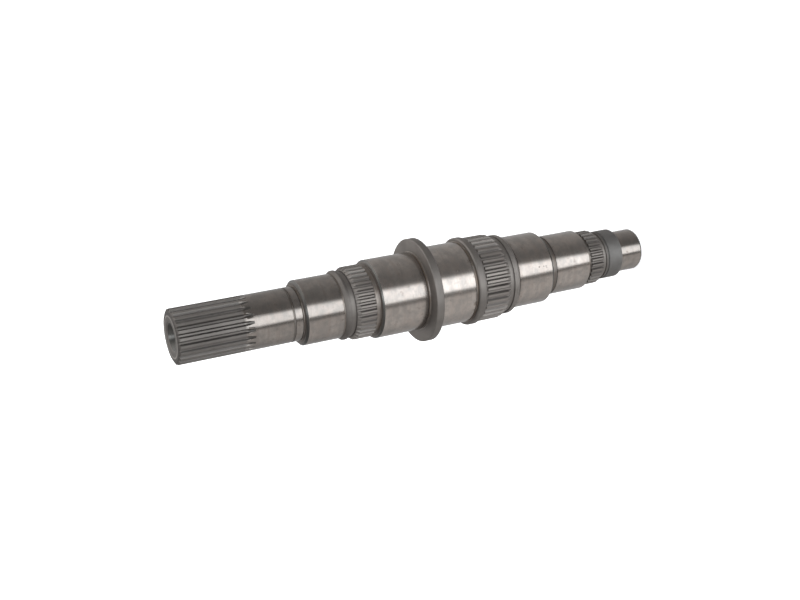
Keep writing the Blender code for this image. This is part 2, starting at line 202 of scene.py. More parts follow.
class SteelLook(bpy.types.PropertyGroup):
    """Colours of the steel's finishes."""
    ground: colour((0.326, 0.293, 0.268), "Ground steel", "The ground journals")
    ground_warm: colour((0.309, 0.266, 0.239), "Warm ground steel", "Their warmer rings and clouds")
    splined: colour((0.260, 0.235, 0.216), "Splined steel", "The hobbed teeth")
    nose: colour((0.306, 0.282, 0.262), "Nose steel", "The dull crests of the nose's teeth")
    turned: colour((0.212, 0.193, 0.178), "Turned steel", "Collar, thrust ring, grooves and end faces")
    blued: colour((0.190, 0.181, 0.173), "Nut seat steel", "The dull ring above the pilot")
    # Dark: oily on the journals' chamfers, and painted shade in the centre holes
    bore: colour((0.110, 0.106, 0.099), "Bored steel", "The centre holes and the journals' chamfers")
    # Dirt and painted shade on the teeth's flanks and in their gaps
    dirt: colour((0.150, 0.139, 0.129), "Dirt", "Old oil on the flanks of the teeth")
    stain: colour((0.158, 0.128, 0.106), "Stain", "Old oil baked on at the roots of the steps")


class StudioLook(bpy.types.PropertyGroup):
    """The tent of light round the shaft, as levels by compass direction."""
    band_level: radiance(3.4, "Strip level", "Radiance of the strip light in front")
    tent_level: radiance(1.0, "Tent level", "Radiance of the pale side of the tent")
    flag_level: radiance(0.36, "Flag level", "Radiance of the dark flags beside the strip")


# Pressure angle of the splines, and a gap's share of the pitch on the hubs and on the nose
PRESSURE_ANGLE = math.radians(30.0)
HUB_GAP_SHARE = 0.5
NOSE_GAP_SHARE = 0.46

# Slopes of the centre holes' walls from the axis
GUARD_SLOPE = math.radians(60.0)
CONE_SLOPE = math.radians(30.0)
DRILL_POINT_SLOPE = math.radians(59.0)

# Sine of the least turn that counts as an inward corner
INWARD_TURN = 0.3
# Places closer than this are one place
SAME_PLACE = 0.001 * MM
# The most of a side that a corner's rounding, or the extra rows beside a corner, may take
SIDE_SHARE = 0.45
# Edges that turn more than this stay sharp
SHARP_FROM = math.radians(32.0)

# Roundings of the edges and of the roots of undercuts and reliefs
EDGE = 0.12 * MM
ROOT = 0.4 * MM
ARC_POINTS = 3

PLAIN_COLUMNS = 180
# Places of a flank's columns, as shares of its height, and the least share kept where a gap fades out
FLANK_STEPS = (0.12, 0.5, 0.93)
LEAST_FLANK = 0.03
# Shares of half a floor and of half a crest at which their own columns lie
FLOOR_COLUMN, CREST_COLUMN = 0.72, 0.1
# Dirt and painted shade at a flank's columns and beside a floor's corner
FLANK_DIRT_AND_SHADE = (1.0, 0.6, 0.3)
CORNER_DIRT_AND_SHADE = 0.35
# Shares of the tooth height: a gap this deep holds all its dirt and painted shade, and a floor lifted this
# far is full of it
FULL_DIRT_AND_SHADE, FULL_LIFT = 0.1, 0.25
# A stretch gets extra rows this far from an end that lies this close to an inward corner
ROW_STEPS = np.array((0.3, 0.8, 2.5)) * MM
BESIDE = 0.8 * MM
# The rows of the nose's gaps start this far below where they fade out
NOSE_MARGIN = 0.4 * MM
RUN_OUT_ROWS = 26

# Rust pits on the low journal: turn about +Z from -Y, height and reach
PITS = ((math.radians(-1.3), 82.5 * MM, 0.55 * MM), (math.radians(-1.6), 79.3 * MM, 0.40 * MM),
        (math.radians(-1.7), 77.7 * MM, 0.45 * MM))

# How far baked oil creeps from an undercut onto the steel beside it, and grime with painted shade from the
# foot of a step
STAIN_REACH = 1.2 * MM
GRIME_AND_SHADE_REACH = 0.3 * MM
GRIME_AND_SHADE_STRENGTH = 0.6
# Above where the nose's gaps fade out, its ground surface turns dull between these heights
DULL_FROM, DULL_TO = 4.6 * MM, 6.2 * MM

# The finishes, in the order of the surface's materials
GROUND, SPLINED, TURNED, BLUED, STAINED, BORED = range(6)

# The chamfer of a square end
SQUARE = (0.0, 0.0)
# A section's shade is how bright it is beside the plain colour of its finish: partly its own tone, and
# partly painted light and shade that sets sections of one finish apart
Section = namedtuple("Section", "name diameter length finish shade low high columns",
                     defaults=(SQUARE, SQUARE, "plain"))
Corner = namedtuple("Corner", "radius height rounding lead turn columns shade")
Outline = namedtuple("Outline", "radii heights finishes kinds shades")

# Painted shade in the centre holes: how bright their corners are, from the mouth in
HOLE_PAINTED_SHADE = (0.6, 0.8, 0.55, 0.3, 0.2)
# Painted light on the nose's end face: painted shade outside a thin painted highlight ring, and a darker
# face inside it; how far inside the ring's outer edge, and how bright
NOSE_END_PAINTED_LIGHT = ((-0.2 * MM, 0.4), (0.0, 1.4), (0.6 * MM, 1.3), (0.9 * MM, 0.6))


def shaft_sections(sizes, chamfers, splines):
    """Every section from the pilot end to the nose: size, finish, end chamfers and kind of ring."""
    s, c = sizes, chamfers

    def named(name, finish, shade, diameter=None, **others):
        """A section whose length, and diameter where none is given, are the sizes that bear its name."""
        if diameter is None:
            diameter = getattr(s, f"{name}_diameter")
        return Section(name, diameter, getattr(s, f"{name}_length"), finish, shade, **others)

    def relief(hub):
        """The diameter of a hub's relief, just below its tooth roots."""
        tooth_height = getattr(splines, f"{hub}_tooth_height")
        return getattr(s, f"{hub}_hub_diameter") - 2 * (tooth_height + s.relief_clearance)

    def undercut(journal):
        """The diameter of a journal's undercut."""
        return getattr(s, f"{journal}_journal_diameter") - 2 * s.undercut_depth

    ramp = (s.second_ramp_length, (s.high_land_diameter - s.second_journal_diameter) / 2)
    # The shades hold each section's own tone and painted light and shade
    sections = [
        named("pilot", GROUND, 0.8, low=c.pilot),
        named("nut_seat", BLUED, 0.95, low=c.edge),
        named("nut_undercut", BLUED, 1.05),
        named("small_land", TURNED, 0.9),
        named("small_groove", TURNED, 1.2),
        named("small_hub", SPLINED, 0.85, low=c.small_hub, columns="small"),
        named("small_relief", STAINED, 0.9, relief("small")),
        named("lowest_journal", GROUND, 0.95),
        named("lowest_undercut", STAINED, 0.8, undercut("lowest")),
        named("low_journal", GROUND, 0.95, low=c.low_journal),
        named("low_undercut", STAINED, 1.0, undercut("low")),
        named("middle_land", TURNED, 1.1, low=c.middle_land, columns="middle"),
        named("middle_groove", TURNED, 1.1, columns="middle"),
        named("middle_hub", SPLINED, 1.05, low=c.middle_hub, columns="middle"),
        named("middle_relief", STAINED, 0.6, relief("middle")),
        named("thrust_ring", TURNED, 0.95, low=c.thrust_lead_in, high=c.thrust),
        named("middle_undercut", STAINED, 1.5, undercut("middle")),
        named("middle_journal", GROUND, 1.05),
        named("collar", TURNED, 0.9, low=c.edge, high=c.edge),
        named("high_undercut", STAINED, 1.5, undercut("high")),
        named("high_journal", GROUND, 0.95, high=c.high_journal),
        named("high_relief", STAINED, 1.2, relief("high")),
        named("high_hub", SPLINED, 1.0, high=c.high_hub, columns="high"),
        named("high_groove", TURNED, 0.95, columns="high"),
        Section("high_land", s.high_land_diameter, s.high_land_length + s.second_ramp_length, TURNED, 0.75,
                high=ramp, columns="high"),
        named("second_undercut", STAINED, 1.5, undercut("second")),
        named("second_journal", GROUND, 0.8, high=c.second_journal),
        named("first_undercut", STAINED, 1.25, undercut("first")),
        named("first_journal", GROUND, 0.75),
        named("oil_groove", STAINED, 0.9, s.first_journal_diameter - 2 * s.oil_groove_depth),
    ]
    splined_length = splines.nose_spline_length + NOSE_MARGIN
    neck_length = s.shaft_length - splined_length - sum(section.length for section in sections)
    return sections + [
        Section("nose_neck", s.first_journal_diameter, neck_length, GROUND, 0.72),
        Section("nose", s.first_journal_diameter, splined_length, GROUND, 0.72, high=c.nose,
                columns="nose"),
    ]


def section_levels(sections):
    """Lower and upper height of each section, by name."""
    tops = np.cumsum([section.length for section in sections])
    bottoms = np.concatenate(([0.0], tops[:-1]))
    return {section.name: pair for section, pair in zip(sections, zip(bottoms, tops))}


def section_corners(section, bottom, top):
    """Corners up a section's outer side: chamfer, edge, edge, chamfer.

    A corner's lead is the finish of the stretch that comes up to it, and its turn that of its rounding.
    The chamfers of the plain journals are dark and oily, in the finish of the centre holes, whose dark
    colour there is painted shade.
    """
    radius = section.diameter / 2
    (low_length, low_depth), (high_length, high_depth) = section.low, section.high
    finish, shown = section.finish, (section.columns, section.shade)
    rounding = ROOT if finish == STAINED else EDGE
    bevel = BORED if finish == GROUND and section.columns == "plain" else TURNED
    corners = [Corner(radius, top - high_length, rounding, finish, finish, *shown)]
    if low_length > 0:
        corners.insert(0, Corner(radius, bottom + low_length, EDGE, bevel, finish, *shown))
        corners.insert(0, Corner(radius - low_depth, bottom, EDGE, TURNED, bevel, *shown))
    else:
        corners.insert(0, Corner(radius, bottom, rounding, TURNED, finish, *shown))
    if high_length > 0:
        corners.append(Corner(radius - high_depth, top, EDGE, bevel, bevel, *shown))
    return corners


def hole_corners(splines, end, height, inward):
    """Corners of an end's centre hole from its mouth at this height to its tip on the axis."""
    mouth, cone, drill = (getattr(splines, f"{end}_{part}_diameter") for part in ("mouth", "cone", "drill"))
    depth = getattr(splines, f"{end}_drill_depth")
    guard_depth = (mouth - cone) / 2 / math.tan(GUARD_SLOPE)
    cone_depth = guard_depth + (cone - drill) / 2 / math.tan(CONE_SLOPE)
    tip_depth = depth + drill / 2 / math.tan(DRILL_POINT_SLOPE)
    places = ((mouth, 0.0), (cone, guard_depth), (drill, cone_depth), (drill, depth), (0.0, tip_depth))
    # The guard chamfer is turned; it comes up to the cone's corner in the nose's hole only
    leads = (TURNED, BORED if inward > 0 else TURNED, BORED, BORED, BORED)
    turns = (TURNED, BORED, BORED, BORED, BORED)
    # The corners' shades paint shade into the hole
    return [Corner(width / 2, height + inward * deep, EDGE, lead, turn, "plain", shade)
            for (width, deep), lead, turn, shade in zip(places, leads, turns, HOLE_PAINTED_SHADE)]


def shaft_corners(sections, levels, splines):
    """The half section: out of the pilot's hole, up the outer side, and into the nose's hole."""
    nose_end = levels["nose"][1]
    pilot_hole = hole_corners(splines, "pilot", 0.0, 1.0)
    nose_hole = hole_corners(splines, "nose", nose_end, -1.0)
    ring = splines.nose_ring_diameter / 2
    # Painted shade round a thin painted highlight ring on the nose's end face
    end_face = [Corner(ring - inside, nose_end, EDGE, TURNED, TURNED, "plain", shade)
                for inside, shade in NOSE_END_PAINTED_LIGHT]
    corners = pilot_hole[::-1]
    for section in sections:
        for corner in section_corners(section, *levels[section.name]):
            if math.dist(corner[:2], corners[-1][:2]) > SAME_PLACE:
                corners.append(corner)
            else:
                corners[-1] = corners[-1]._replace(columns=corner.columns)
    # The nose's outer chamfer darkens into that painted shade
    corners[-1] = corners[-1]._replace(shade=end_face[0].shade)
    return corners + end_face + nose_hole


def rounded_outline(corners):
    """Every row of the surface, and the places of the outline's inward corners.

    Each inner corner P with neighbours A and B becomes an arc: points P + t(A-P)^, P + t(B-P)^ joined by
    the quadratic curve with P as its control point, where t is the rounding times tan(turn / 2), at most
    a set share of either side. A row's finish is that of the faces just before it. Rows that fall
    together become one. A corner is an inward one where the outline turns away from the steel, which the
    sign of the cross product of its two sides tells.
    """
    places = np.array([corner[:2] for corner in corners])
    before, here, after = places[:-2], places[1:-1], places[2:]
    back, on = before - here, after - here
    back_length, on_length = np.linalg.norm(back, axis=1), np.linalg.norm(on, axis=1)
    back, on = back / back_length[:, None], on / on_length[:, None]
    turn = np.pi - np.arccos(np.clip((back * on).sum(axis=1), -1.0, 1.0))
    rounding = np.array([corner.rounding for corner in corners[1:-1]])
    reach = np.minimum(rounding * np.tan(turn / 2), SIDE_SHARE * np.minimum(back_length, on_length))
    blend = np.linspace(0.0, 1.0, ARC_POINTS)[None, :, None]
    start, end = (here + back * reach[:, None])[:, None], (here + on * reach[:, None])[:, None]
    arcs = start * (1 - blend) ** 2 + 2 * here[:, None] * blend * (1 - blend) + end * blend ** 2
    rows = np.concatenate((places[:1], arcs.reshape(-1, 2), places[-1:]))
    last = len(corners) - 1
    owners = np.concatenate(([0], np.repeat(np.arange(1, last), ARC_POINTS), [last]))
    finishes = np.array([corner.turn for corner in corners])[owners]
    first_rows = np.concatenate(([True], owners[1:] != owners[:-1]))
    finishes[first_rows] = [corner.lead for corner in corners]
    kinds = np.array([corner.columns for corner in corners])[owners]
    shades = np.array([corner.shade for corner in corners])[owners]
    apart = np.concatenate(([True], np.linalg.norm(np.diff(rows, axis=0), axis=1) > SAME_PLACE))
    inward = here[back[:, 0] * on[:, 1] - back[:, 1] * on[:, 0] > INWARD_TURN]
    return Outline(rows[apart, 0], rows[apart, 1], finishes[apart], kinds[apart], shades[apart]), inward


def with_rows(outline, at, places, like):
    """The outline with rows put in before row at: their radii and heights, and the row they are like."""
    radii, heights = places.T
    extra = Outline(radii, heights, outline.finishes[at], outline.kinds[like], outline.shades[like])
    return Outline(*(np.insert(values, at, np.broadcast_to(new, len(radii)))
                     for values, new in zip(outline, extra)))


def with_end_rows(outline, inward):
    """Adds rows to long stretches near the ends beside an inward corner, where stain and grime with painted
    shade change.

    They are like the end that lies farther out, so the steel of a wall reaches down to its foot.
    """
    places = np.stack((outline.radii, outline.heights), axis=1)
    beside = np.linalg.norm(places[:, None] - inward[None], axis=2).min(axis=1) < BESIDE
    for at in range(len(places) - 2, 1, -1):
        low, high = places[at - 1], places[at]
        length = math.dist(low, high)
        steps = ROW_STEPS[ROW_STEPS < SIDE_SHARE * length] / length
        shares = np.concatenate((steps[:len(steps) * beside[at - 1]],
                                 1.0 - steps[:len(steps) * beside[at]][::-1]))
        if len(shares):
            farther_out = at if high[0] > low[0] else at - 1
            outline = with_rows(outline, at, low + (high - low) * shares[:, None], farther_out)
    return outline


def with_run_out_rows(outline, splines):
    """Adds close rows where the nose's gaps fade out."""
    first = np.flatnonzero(outline.kinds == "nose")[0]
    fade = outline.heights[first] + NOSE_MARGIN
    run_out = math.sqrt(2 * splines.hob_radius * splines.nose_tooth_height)
    heights = np.linspace(fade, fade + run_out, RUN_OUT_ROWS)
    places = np.stack((np.full(RUN_OUT_ROWS, outline.radii[first]), heights), axis=1)
    return with_rows(outline, first + 1, places, first)


def involute(pressure):
    """The involute of a pressure angle: tan a - a."""
    return np.tan(pressure) - pressure


class Spline:
    """The tooth gaps of one spline, as columns of a ring round the shaft."""

    def __init__(self, crest_diameter, tooth_height, teeth, first_gap, gap_share):
        self.root = crest_diameter / 2 - tooth_height
        self.tooth = tooth_height
        self.pitch = crest_diameter / 2 - tooth_height / 2
        self.half_pitch = math.pi / teeth
        self.half_gap = self.half_pitch * gap_share
        self.turns = -math.pi / 2 + first_gap + 2 * math.pi * np.arange(teeth) / teeth

    def half_angle(self, radius):
        """Half a gap's angle at a radius: half gap + inv(acos(base / r)) - inv(pressure angle)."""
        base = self.pitch * math.cos(PRESSURE_ANGLE)
        return self.half_gap + involute(np.arccos(np.minimum(1.0, base / radius))) - involute(PRESSURE_ANGLE)

    def ring(self, top, lift):
        """Angles, radii and dirt with painted shade of one ring whose crests have the radius top and whose
        gaps are lifted.

        Half a gap runs from the middle of its floor over the root's corner and up the flank, at steps of
        its height, to the crest's corner, and on to the middle of the crest. Dirt and painted shade lie in
        the root's corners, thin out up the flank, and fill the floor where the gap is lifted.
        """
        floor = min(self.root + lift, top)
        height = top - floor
        steps = np.array(FLANK_STEPS)
        half = self.half_angle(self.root + steps * max(height, LEAST_FLANK * self.tooth))
        corner = half[-1] + (self.half_pitch - half[-1]) * CREST_COLUMN
        offsets = np.concatenate(([0.0, half[0] * FLOOR_COLUMN], half, [corner, self.half_pitch]))
        radii = np.concatenate(([floor, floor], floor + steps * height, [top, top]))
        lifted = min(1.0, lift / (FULL_LIFT * self.tooth))
        # Dirt with painted shade: in the root's corners, up the flanks and on lifted floors
        dirt = np.concatenate(([lifted, max(lifted, CORNER_DIRT_AND_SHADE)], FLANK_DIRT_AND_SHADE, [0.0, 0.0]))
        dirt *= min(1.0, height / (FULL_DIRT_AND_SHADE * self.tooth))
        both = [np.concatenate((side[-2:0:-1], side)) for side in (offsets, radii, dirt)]
        both[0][:len(offsets) - 2] *= -1.0
        angles = (self.turns[:, None] + both[0][None]).ravel()
        return angles, np.tile(both[1], len(self.turns)), np.tile(both[2], len(self.turns))


class PlainRing:
    """A ring with even columns."""
    angles = np.arange(PLAIN_COLUMNS) * 2 * np.pi / PLAIN_COLUMNS - np.pi / 2

    def ring(self, top, lift):
        """Angles, radii and dirt with painted shade of one ring."""
        return self.angles, np.full(PLAIN_COLUMNS, top), np.zeros(PLAIN_COLUMNS)


def nose_lift(height, nose_end, splines):
    """How far the nose's gaps are lifted at a height: R - sqrt(R^2 - x^2), x below the full depth."""
    radius, tooth = splines.hob_radius, splines.nose_tooth_height
    run_out = math.sqrt(2 * radius * tooth - tooth ** 2)
    full_depth = nose_end - splines.nose_spline_length + run_out
    below = np.clip(full_depth - height, 0.0, radius)
    return radius - np.sqrt(radius ** 2 - below ** 2)


def ring_kinds(sizes, splines):
    """Each kind of ring by name."""
    kinds = {"plain": PlainRing()}
    for name, crest_diameter, gap_share in (("small", sizes.small_hub_diameter, HUB_GAP_SHARE),
                                            ("middle", sizes.middle_hub_diameter, HUB_GAP_SHARE),
                                            ("high", sizes.high_hub_diameter, HUB_GAP_SHARE),
                                            ("nose", sizes.first_journal_diameter, NOSE_GAP_SHARE)):
        height, teeth, first_gap = (getattr(splines, f"{name}_{part}")
                                    for part in ("tooth_height", "teeth", "first_gap"))
        kinds[name] = Spline(crest_diameter, height, teeth, first_gap, gap_share)
    return kinds


def zip_rings(low_angles, high_angles, low_start, high_start):
    """Triangles between two rings with unlike numbers of columns.

    Both rings are walked round together: each step along one ring makes a triangle with the point that
    the walk has reached on the other, found for all steps at once by a sorted search of the angles.
    """
    low_count, high_count = len(low_angles), len(high_angles)
    low_next = np.append(low_angles[1:], low_angles[0] + 2 * np.pi)
    high_next = np.append(high_angles[1:], high_angles[0] + 2 * np.pi)
    low_index, high_index = np.arange(low_count), np.arange(high_count)
    reached_high = np.searchsorted(high_next, low_next, side="left") % high_count
    reached_low = np.searchsorted(low_next, high_next, side="right") % low_count
    along_low = np.stack((low_start + low_index, low_start + (low_index + 1) % low_count,
                          high_start + reached_high), axis=1)
    along_high = np.stack((low_start + reached_low, high_start + (high_index + 1) % high_count,
                           high_start + high_index), axis=1)
    return np.concatenate((along_low, along_high))


def ring_quads(columns, low_start, high_start):
    """Four-sided faces between two rings with the same columns."""
    here = np.arange(columns)
    there = (here + 1) % columns
    return np.stack((low_start + here, low_start + there, high_start + there, high_start + here), axis=1)


def row_marks(outline, inward, sections, levels, splines):
    """Marks of each row by name: how stained, how grimy with painted shade, and how dull it is, 0 to 1, and
    its shade.

    Stain is exp(-d / reach), d being the way to the nearest undercut's floor, and grime with painted shade
    the same with d to the nearest inward corner. Dullness rises smoothly, t^2 (3 - 2t), just above where the
    nose's gaps fade out.
    """
    heights = outline.heights
    low, high, floor = np.array([(*levels[section.name], section.diameter / 2) for section in sections
                                 if section.finish == STAINED]).T
    along = np.maximum(np.maximum(low - heights[:, None], heights[:, None] - high), 0.0)
    stain = np.exp(-np.hypot(along, outline.radii[:, None] - floor).min(axis=1) / STAIN_REACH)
    rows = np.stack((outline.radii, heights), axis=1)
    # Grime with painted shade, darkest at the inward corners
    grime = np.exp(-np.linalg.norm(rows[:, None] - inward[None], axis=2).min(axis=1) / GRIME_AND_SHADE_REACH)
    fade = levels["nose"][1] - splines.nose_spline_length
    rise = np.clip((heights - fade - DULL_FROM) / (DULL_TO - DULL_FROM), 0.0, 1.0)
    return {"stain": stain, "grime": grime, "dull": rise ** 2 * (3 - 2 * rise), "shade": outline.shades}


def surface_faces(kinds, row_angles, row_counts):
    """Bands of faces from row to row: the two ends, each one point on the axis, close in fans.

    Rows of the same kind are joined by four-sided faces, and unlike ones by triangles.
    """
    starts = np.cumsum([0] + row_counts[:-1])
    first, last = np.arange(row_counts[1]), np.arange(row_counts[-2])
    bands = [np.stack((np.zeros(len(first), int), 1 + np.roll(first, -1), 1 + first), axis=1)]
    for row in range(1, len(kinds) - 2):
        low, high = starts[row], starts[row + 1]
        if kinds[row] == kinds[row + 1]:
            bands.append(ring_quads(row_counts[row], low, high))
        else:
            bands.append(zip_rings(row_angles[row], row_angles[row + 1], low, high))
    tip = np.full(len(last), starts[-1])
    bands.append(np.stack((starts[-2] + last, starts[-2] + np.roll(last, -1), tip), axis=1))
    return bands


def shaft_surface(sizes, chamfers, splines):
    """Points, bands of faces, finish of each face, and marks of each point by name.

    Row k of the outline is a ring of points (r cos a, r sin a, height_k), with the angles a and radii r
    of its kind of ring. The first and last rows are single points on the axis.
    """
    sections = shaft_sections(sizes, chamfers, splines)
    levels = section_levels(sections)
    outline, inward = rounded_outline(shaft_corners(sections, levels, splines))
    outline = with_run_out_rows(with_end_rows(outline, inward), splines)
    radii, heights, finishes, kinds, _ = outline
    rings = ring_kinds(sizes, splines)
    nose_end = levels["nose"][1]
    points, dirts_and_shades, row_angles = [[[0.0, 0.0, heights[0]]]], [[0.0]], [None]
    for radius, height, kind in zip(radii[1:-1], heights[1:-1], kinds[1:-1]):
        lift = nose_lift(height, nose_end, splines) if kind == "nose" else 0.0
        angles, ring, dirt = rings[kind].ring(radius, lift)
        points.append(np.stack((ring * np.cos(angles), ring * np.sin(angles), np.full(len(ring), height)),
                               axis=1))
        dirts_and_shades.append(dirt)
        row_angles.append(angles)
    points.append([[0.0, 0.0, heights[-1]]])
    dirts_and_shades.append([0.0])
    row_counts = [len(row) for row in points]
    marks = {mark: np.repeat(values, row_counts)
             for mark, values in row_marks(outline, inward, sections, levels, splines).items()}
    marks["dirt"] = np.concatenate(dirts_and_shades)
    bands = surface_faces(kinds, row_angles, row_counts)
    face_finishes = np.repeat(finishes[1:], [len(band) for band in bands])
    return np.concatenate(points), bands, face_finishes, marks


def mesh_object(name, points, bands, face_finishes, marks):
    """A mesh object at the origin from points and bands of faces, with a point attribute for each mark."""
    mesh = bpy.data.meshes.new(name)
    mesh.from_pydata(points.tolist(), [], [face for band in bands for face in band.tolist()])
    mesh.polygons.foreach_set("material_index", face_finishes.astype(np.int32))
    for mark, values in marks.items():
        attribute = mesh.attributes.new(mark, "FLOAT", "POINT")
        attribute.data.foreach_set("value", values.astype(np.float32))
    mesh.update()
    mesh.shade_smooth()
    mesh.set_sharp_from_angle(angle=SHARP_FROM)
    piece = bpy.data.objects.new(name, mesh)
    bpy.context.scene.collection.objects.link(piece)
    return piece


# Waves a metre across (X and Y) and along (Z) the shaft of what the tools left on it
GRINDING_LINES = (2.0, 2.0, 900.0)
GRINDING_RINGS = (9.0, 9.0, 330.0)
HOB_STREAKS = (900.0, 900.0, 60.0)
TURNING_LINES = (3.0, 3.0, 1400.0)
OIL_RINGS = (20.0, 20.0, 1100.0)
BORING_LINES = (60.0, 60.0, 1500.0)
NOISE_ROUGHNESS = 0.55
# Highlights are drawn out by this much, a quarter turn from the surface's own tangent
GRINDING_ANISOTROPY, QUARTER_TURN = 0.4, 0.25
# Share of a pit's reach that is wholly dark
PIT_CORE = 0.35


class Sock:
    """A node socket whose arithmetic adds Math nodes to its tree."""

    def __init__(self, tree, socket=None):
        self.tree, self.socket = tree, socket

    def node(self, kind, settings, inputs, output=0):
        """Adds a node: its settings first, then a value or link for each named socket."""
        made = self.tree.nodes.new(kind)
        for key, value in settings.items():
            if key == "stops":
                # A new ramp has two stops already
                ramp = made.color_ramp
                for stop, (place, shade) in enumerate(value):
                    element = ramp.elements[stop] if stop < 2 else ramp.elements.new(place)
                    element.position = place
                    element.color = shade
            else:
                setattr(made, key, value)
        for key, value in inputs.items():
            target = made.inputs[key]
            if isinstance(value, Sock):
                self.tree.links.new(value.socket, target)
            else:
                target.default_value = value
        return Sock(self.tree, made.outputs[output])

    def math(self, operation, *values):
        """A Math node with these values."""
        return self.node("ShaderNodeMath", {"operation": operation}, dict(enumerate(values)))

    def __add__(self, other): return self.math("ADD", self, other)
    def __radd__(self, other): return self.math("ADD", other, self)
    def __sub__(self, other): return self.math("SUBTRACT", self, other)
    def __rsub__(self, other): return self.math("SUBTRACT", other, self)
    def __mul__(self, other): return self.math("MULTIPLY", self, other)
    def __rmul__(self, other): return self.math("MULTIPLY", other, self)
    def __truediv__(self, other): return self.math("DIVIDE", self, other)
    def __rtruediv__(self, other): return self.math("DIVIDE", other, self)

    def smooth(self, low, high):
        """0 below low, 1 above high, smooth between."""
        return self.node("ShaderNodeMapRange", {"interpolation_type": "SMOOTHSTEP"},
                         {"Value": self, "From Min": low, "From Max": high})

    def blend(self, first, second):
        """Mixes two colours by this factor."""
        return self.node("ShaderNodeMix", {"data_type": "RGBA"},
                         {"Factor": self, "A": first, "B": second}, 2)

    def part(self, axis):
        """One component of a vector."""
        return self.node("ShaderNodeSeparateXYZ", {}, {"Vector": self}, axis)

    def stretched(self, scale):
        """A vector times a scale."""
        return self.node("ShaderNodeVectorMath", {"operation": "MULTIPLY"}, {0: self, 1: scale})

    def mark(self, name):
        """A point attribute of the mesh."""
        return self.node("ShaderNodeAttribute", {"attribute_name": name}, {}, 2)

    def near(self, place, reach):
        """1 in the core round a place, falling to 0 at this reach from it."""
        away = self.node("ShaderNodeVectorMath", {"operation": "DISTANCE"}, {0: self, 1: place}, 1)
        return 1.0 - away.smooth(PIT_CORE * reach, reach)

    def noise(self, scale, detail=3.0):
        """Noise from 0 to 1 on this vector, at a scale in waves a metre."""
        return self.node("ShaderNodeTexNoise", {}, {"Vector": self, "Scale": scale, "Detail": detail,
                                                    "Roughness": NOISE_ROUGHNESS})

    def grain(self, waves, detail=3.0):
        """Noise drawn out by unlike scales across and along the shaft, in waves a metre."""
        return self.stretched(waves).noise(1.0, detail)


def rgba(colour_value, level=1.0):
    """A colour with an alpha of 1, scaled by a level."""
    return tuple(channel * level for channel in colour_value) + (1.0,)


def steel(name, anisotropy=0.0):
    """A metal material and its coordinates."""
    material = bpy.data.materials.new(name)
    material.use_nodes = True
    tree = material.node_tree
    inputs = tree.nodes["Principled BSDF"].inputs
    inputs["Metallic"].default_value = 1.0
    inputs["Anisotropic"].default_value = anisotropy
    inputs["Anisotropic Rotation"].default_value = QUARTER_TURN
    return material, Sock(tree).node("ShaderNodeTexCoord", {}, {}, "Object")


def set_surface(where, base, roughness, height, depth, strength=0.3):
    """Links colour, darkened by grime with painted shade in inward corners and by the section's shade,
    roughness and bump to the shader.
    """
    shader = where.tree.nodes["Principled BSDF"]
    # Painted shade with grime darkens the inward corners
    light = where.mark("shade") * (1.0 - where.mark("grime") * GRIME_AND_SHADE_STRENGTH)
    base = where.node("ShaderNodeVectorMath", {"operation": "SCALE"}, {0: base, "Scale": light})
    bump = where.node("ShaderNodeBump", {}, {"Strength": strength, "Distance": depth, "Height": height})
    for name, value in (("Base Color", base), ("Roughness", roughness), ("Normal", bump)):
        where.tree.links.new(value.socket, shader.inputs[name])


def pit_place(turn, height, sizes):
    """A point on the low journal: turn about +Z from -Y, and height."""
    radius = sizes.low_journal_diameter / 2
    return (radius * math.sin(turn), -radius * math.cos(turn), height)


def ground_steel(look, sizes):
    """Ground journals: fine lines round the shaft, warm and cool patches, brown spots beside the undercuts.

    The nose's splined end has the same surface, gone dull and dark, with dirt and painted shade in its gaps.
    """
    material, where = steel("ground_steel", GRINDING_ANISOTROPY)
    lines = where.grain(GRINDING_LINES, detail=4.0)
    rings = where.grain(GRINDING_RINGS)
    clouds = where.noise(48.0, detail=4.0)
    patches = where.noise(210.0)
    dull, dirt = where.mark("dull"), where.mark("dirt")
    base = clouds.smooth(0.35, 0.68).blend(rgba(look.ground, 1.1), rgba(look.ground_warm, 1.04))
    base = rings.smooth(0.42, 0.66).blend(base, rgba(look.ground_warm, 1.0))
    base = (patches.smooth(0.34, 0.66) * 0.85).blend(base, rgba(look.nose, 0.8))
    base = (lines.smooth(0.3, 0.75) * 0.6).blend(base, rgba(look.ground, 0.94))
    dulled = clouds.smooth(0.35, 0.7).blend(rgba(look.nose), rgba(look.nose, 0.8))
    base = dull.blend(base, dulled)
    # Dirt with painted shade in the nose's gaps
    base = dirt.blend(base, rgba(look.dirt, 0.75))
    spots = (where.noise(320.0, detail=4.0) + where.mark("stain") * 0.16).smooth(0.62, 0.82) * 0.7
    base = spots.blend(base, rgba(look.stain))
    for turn, height, reach in PITS:
        pit = where.near(pit_place(turn, height, sizes), reach)
        base = pit.blend(base, rgba(look.stain, 0.3))
    bare = 0.14 + lines * 0.05 + patches * 0.09 + spots * 0.15
    roughness = bare + dull * (1.0 - dirt * 0.3) * 0.5 + dirt * (1.0 - dull) * 0.25
    set_surface(where, base, roughness, lines, depth=0.02 * MM, strength=0.15)
    return material


def splined_steel(look):
    """Hobbed and hardened teeth: dull, with fine streaks along the shaft and dirt with painted shade in the
    gaps.
    """
    material, where = steel("splined_steel")
    streaks = where.grain(HOB_STREAKS)
    clouds = where.noise(70.0, detail=4.0)
    base = streaks.smooth(0.3, 0.7).blend(rgba(look.splined), rgba(look.splined, 0.8))
    # Dirt with painted shade in the gaps and on the flanks
    base = where.mark("dirt").blend(base, rgba(look.dirt, 0.8))
    set_surface(where, base, 0.51 + clouds * 0.14, streaks, depth=0.03 * MM)
    return material


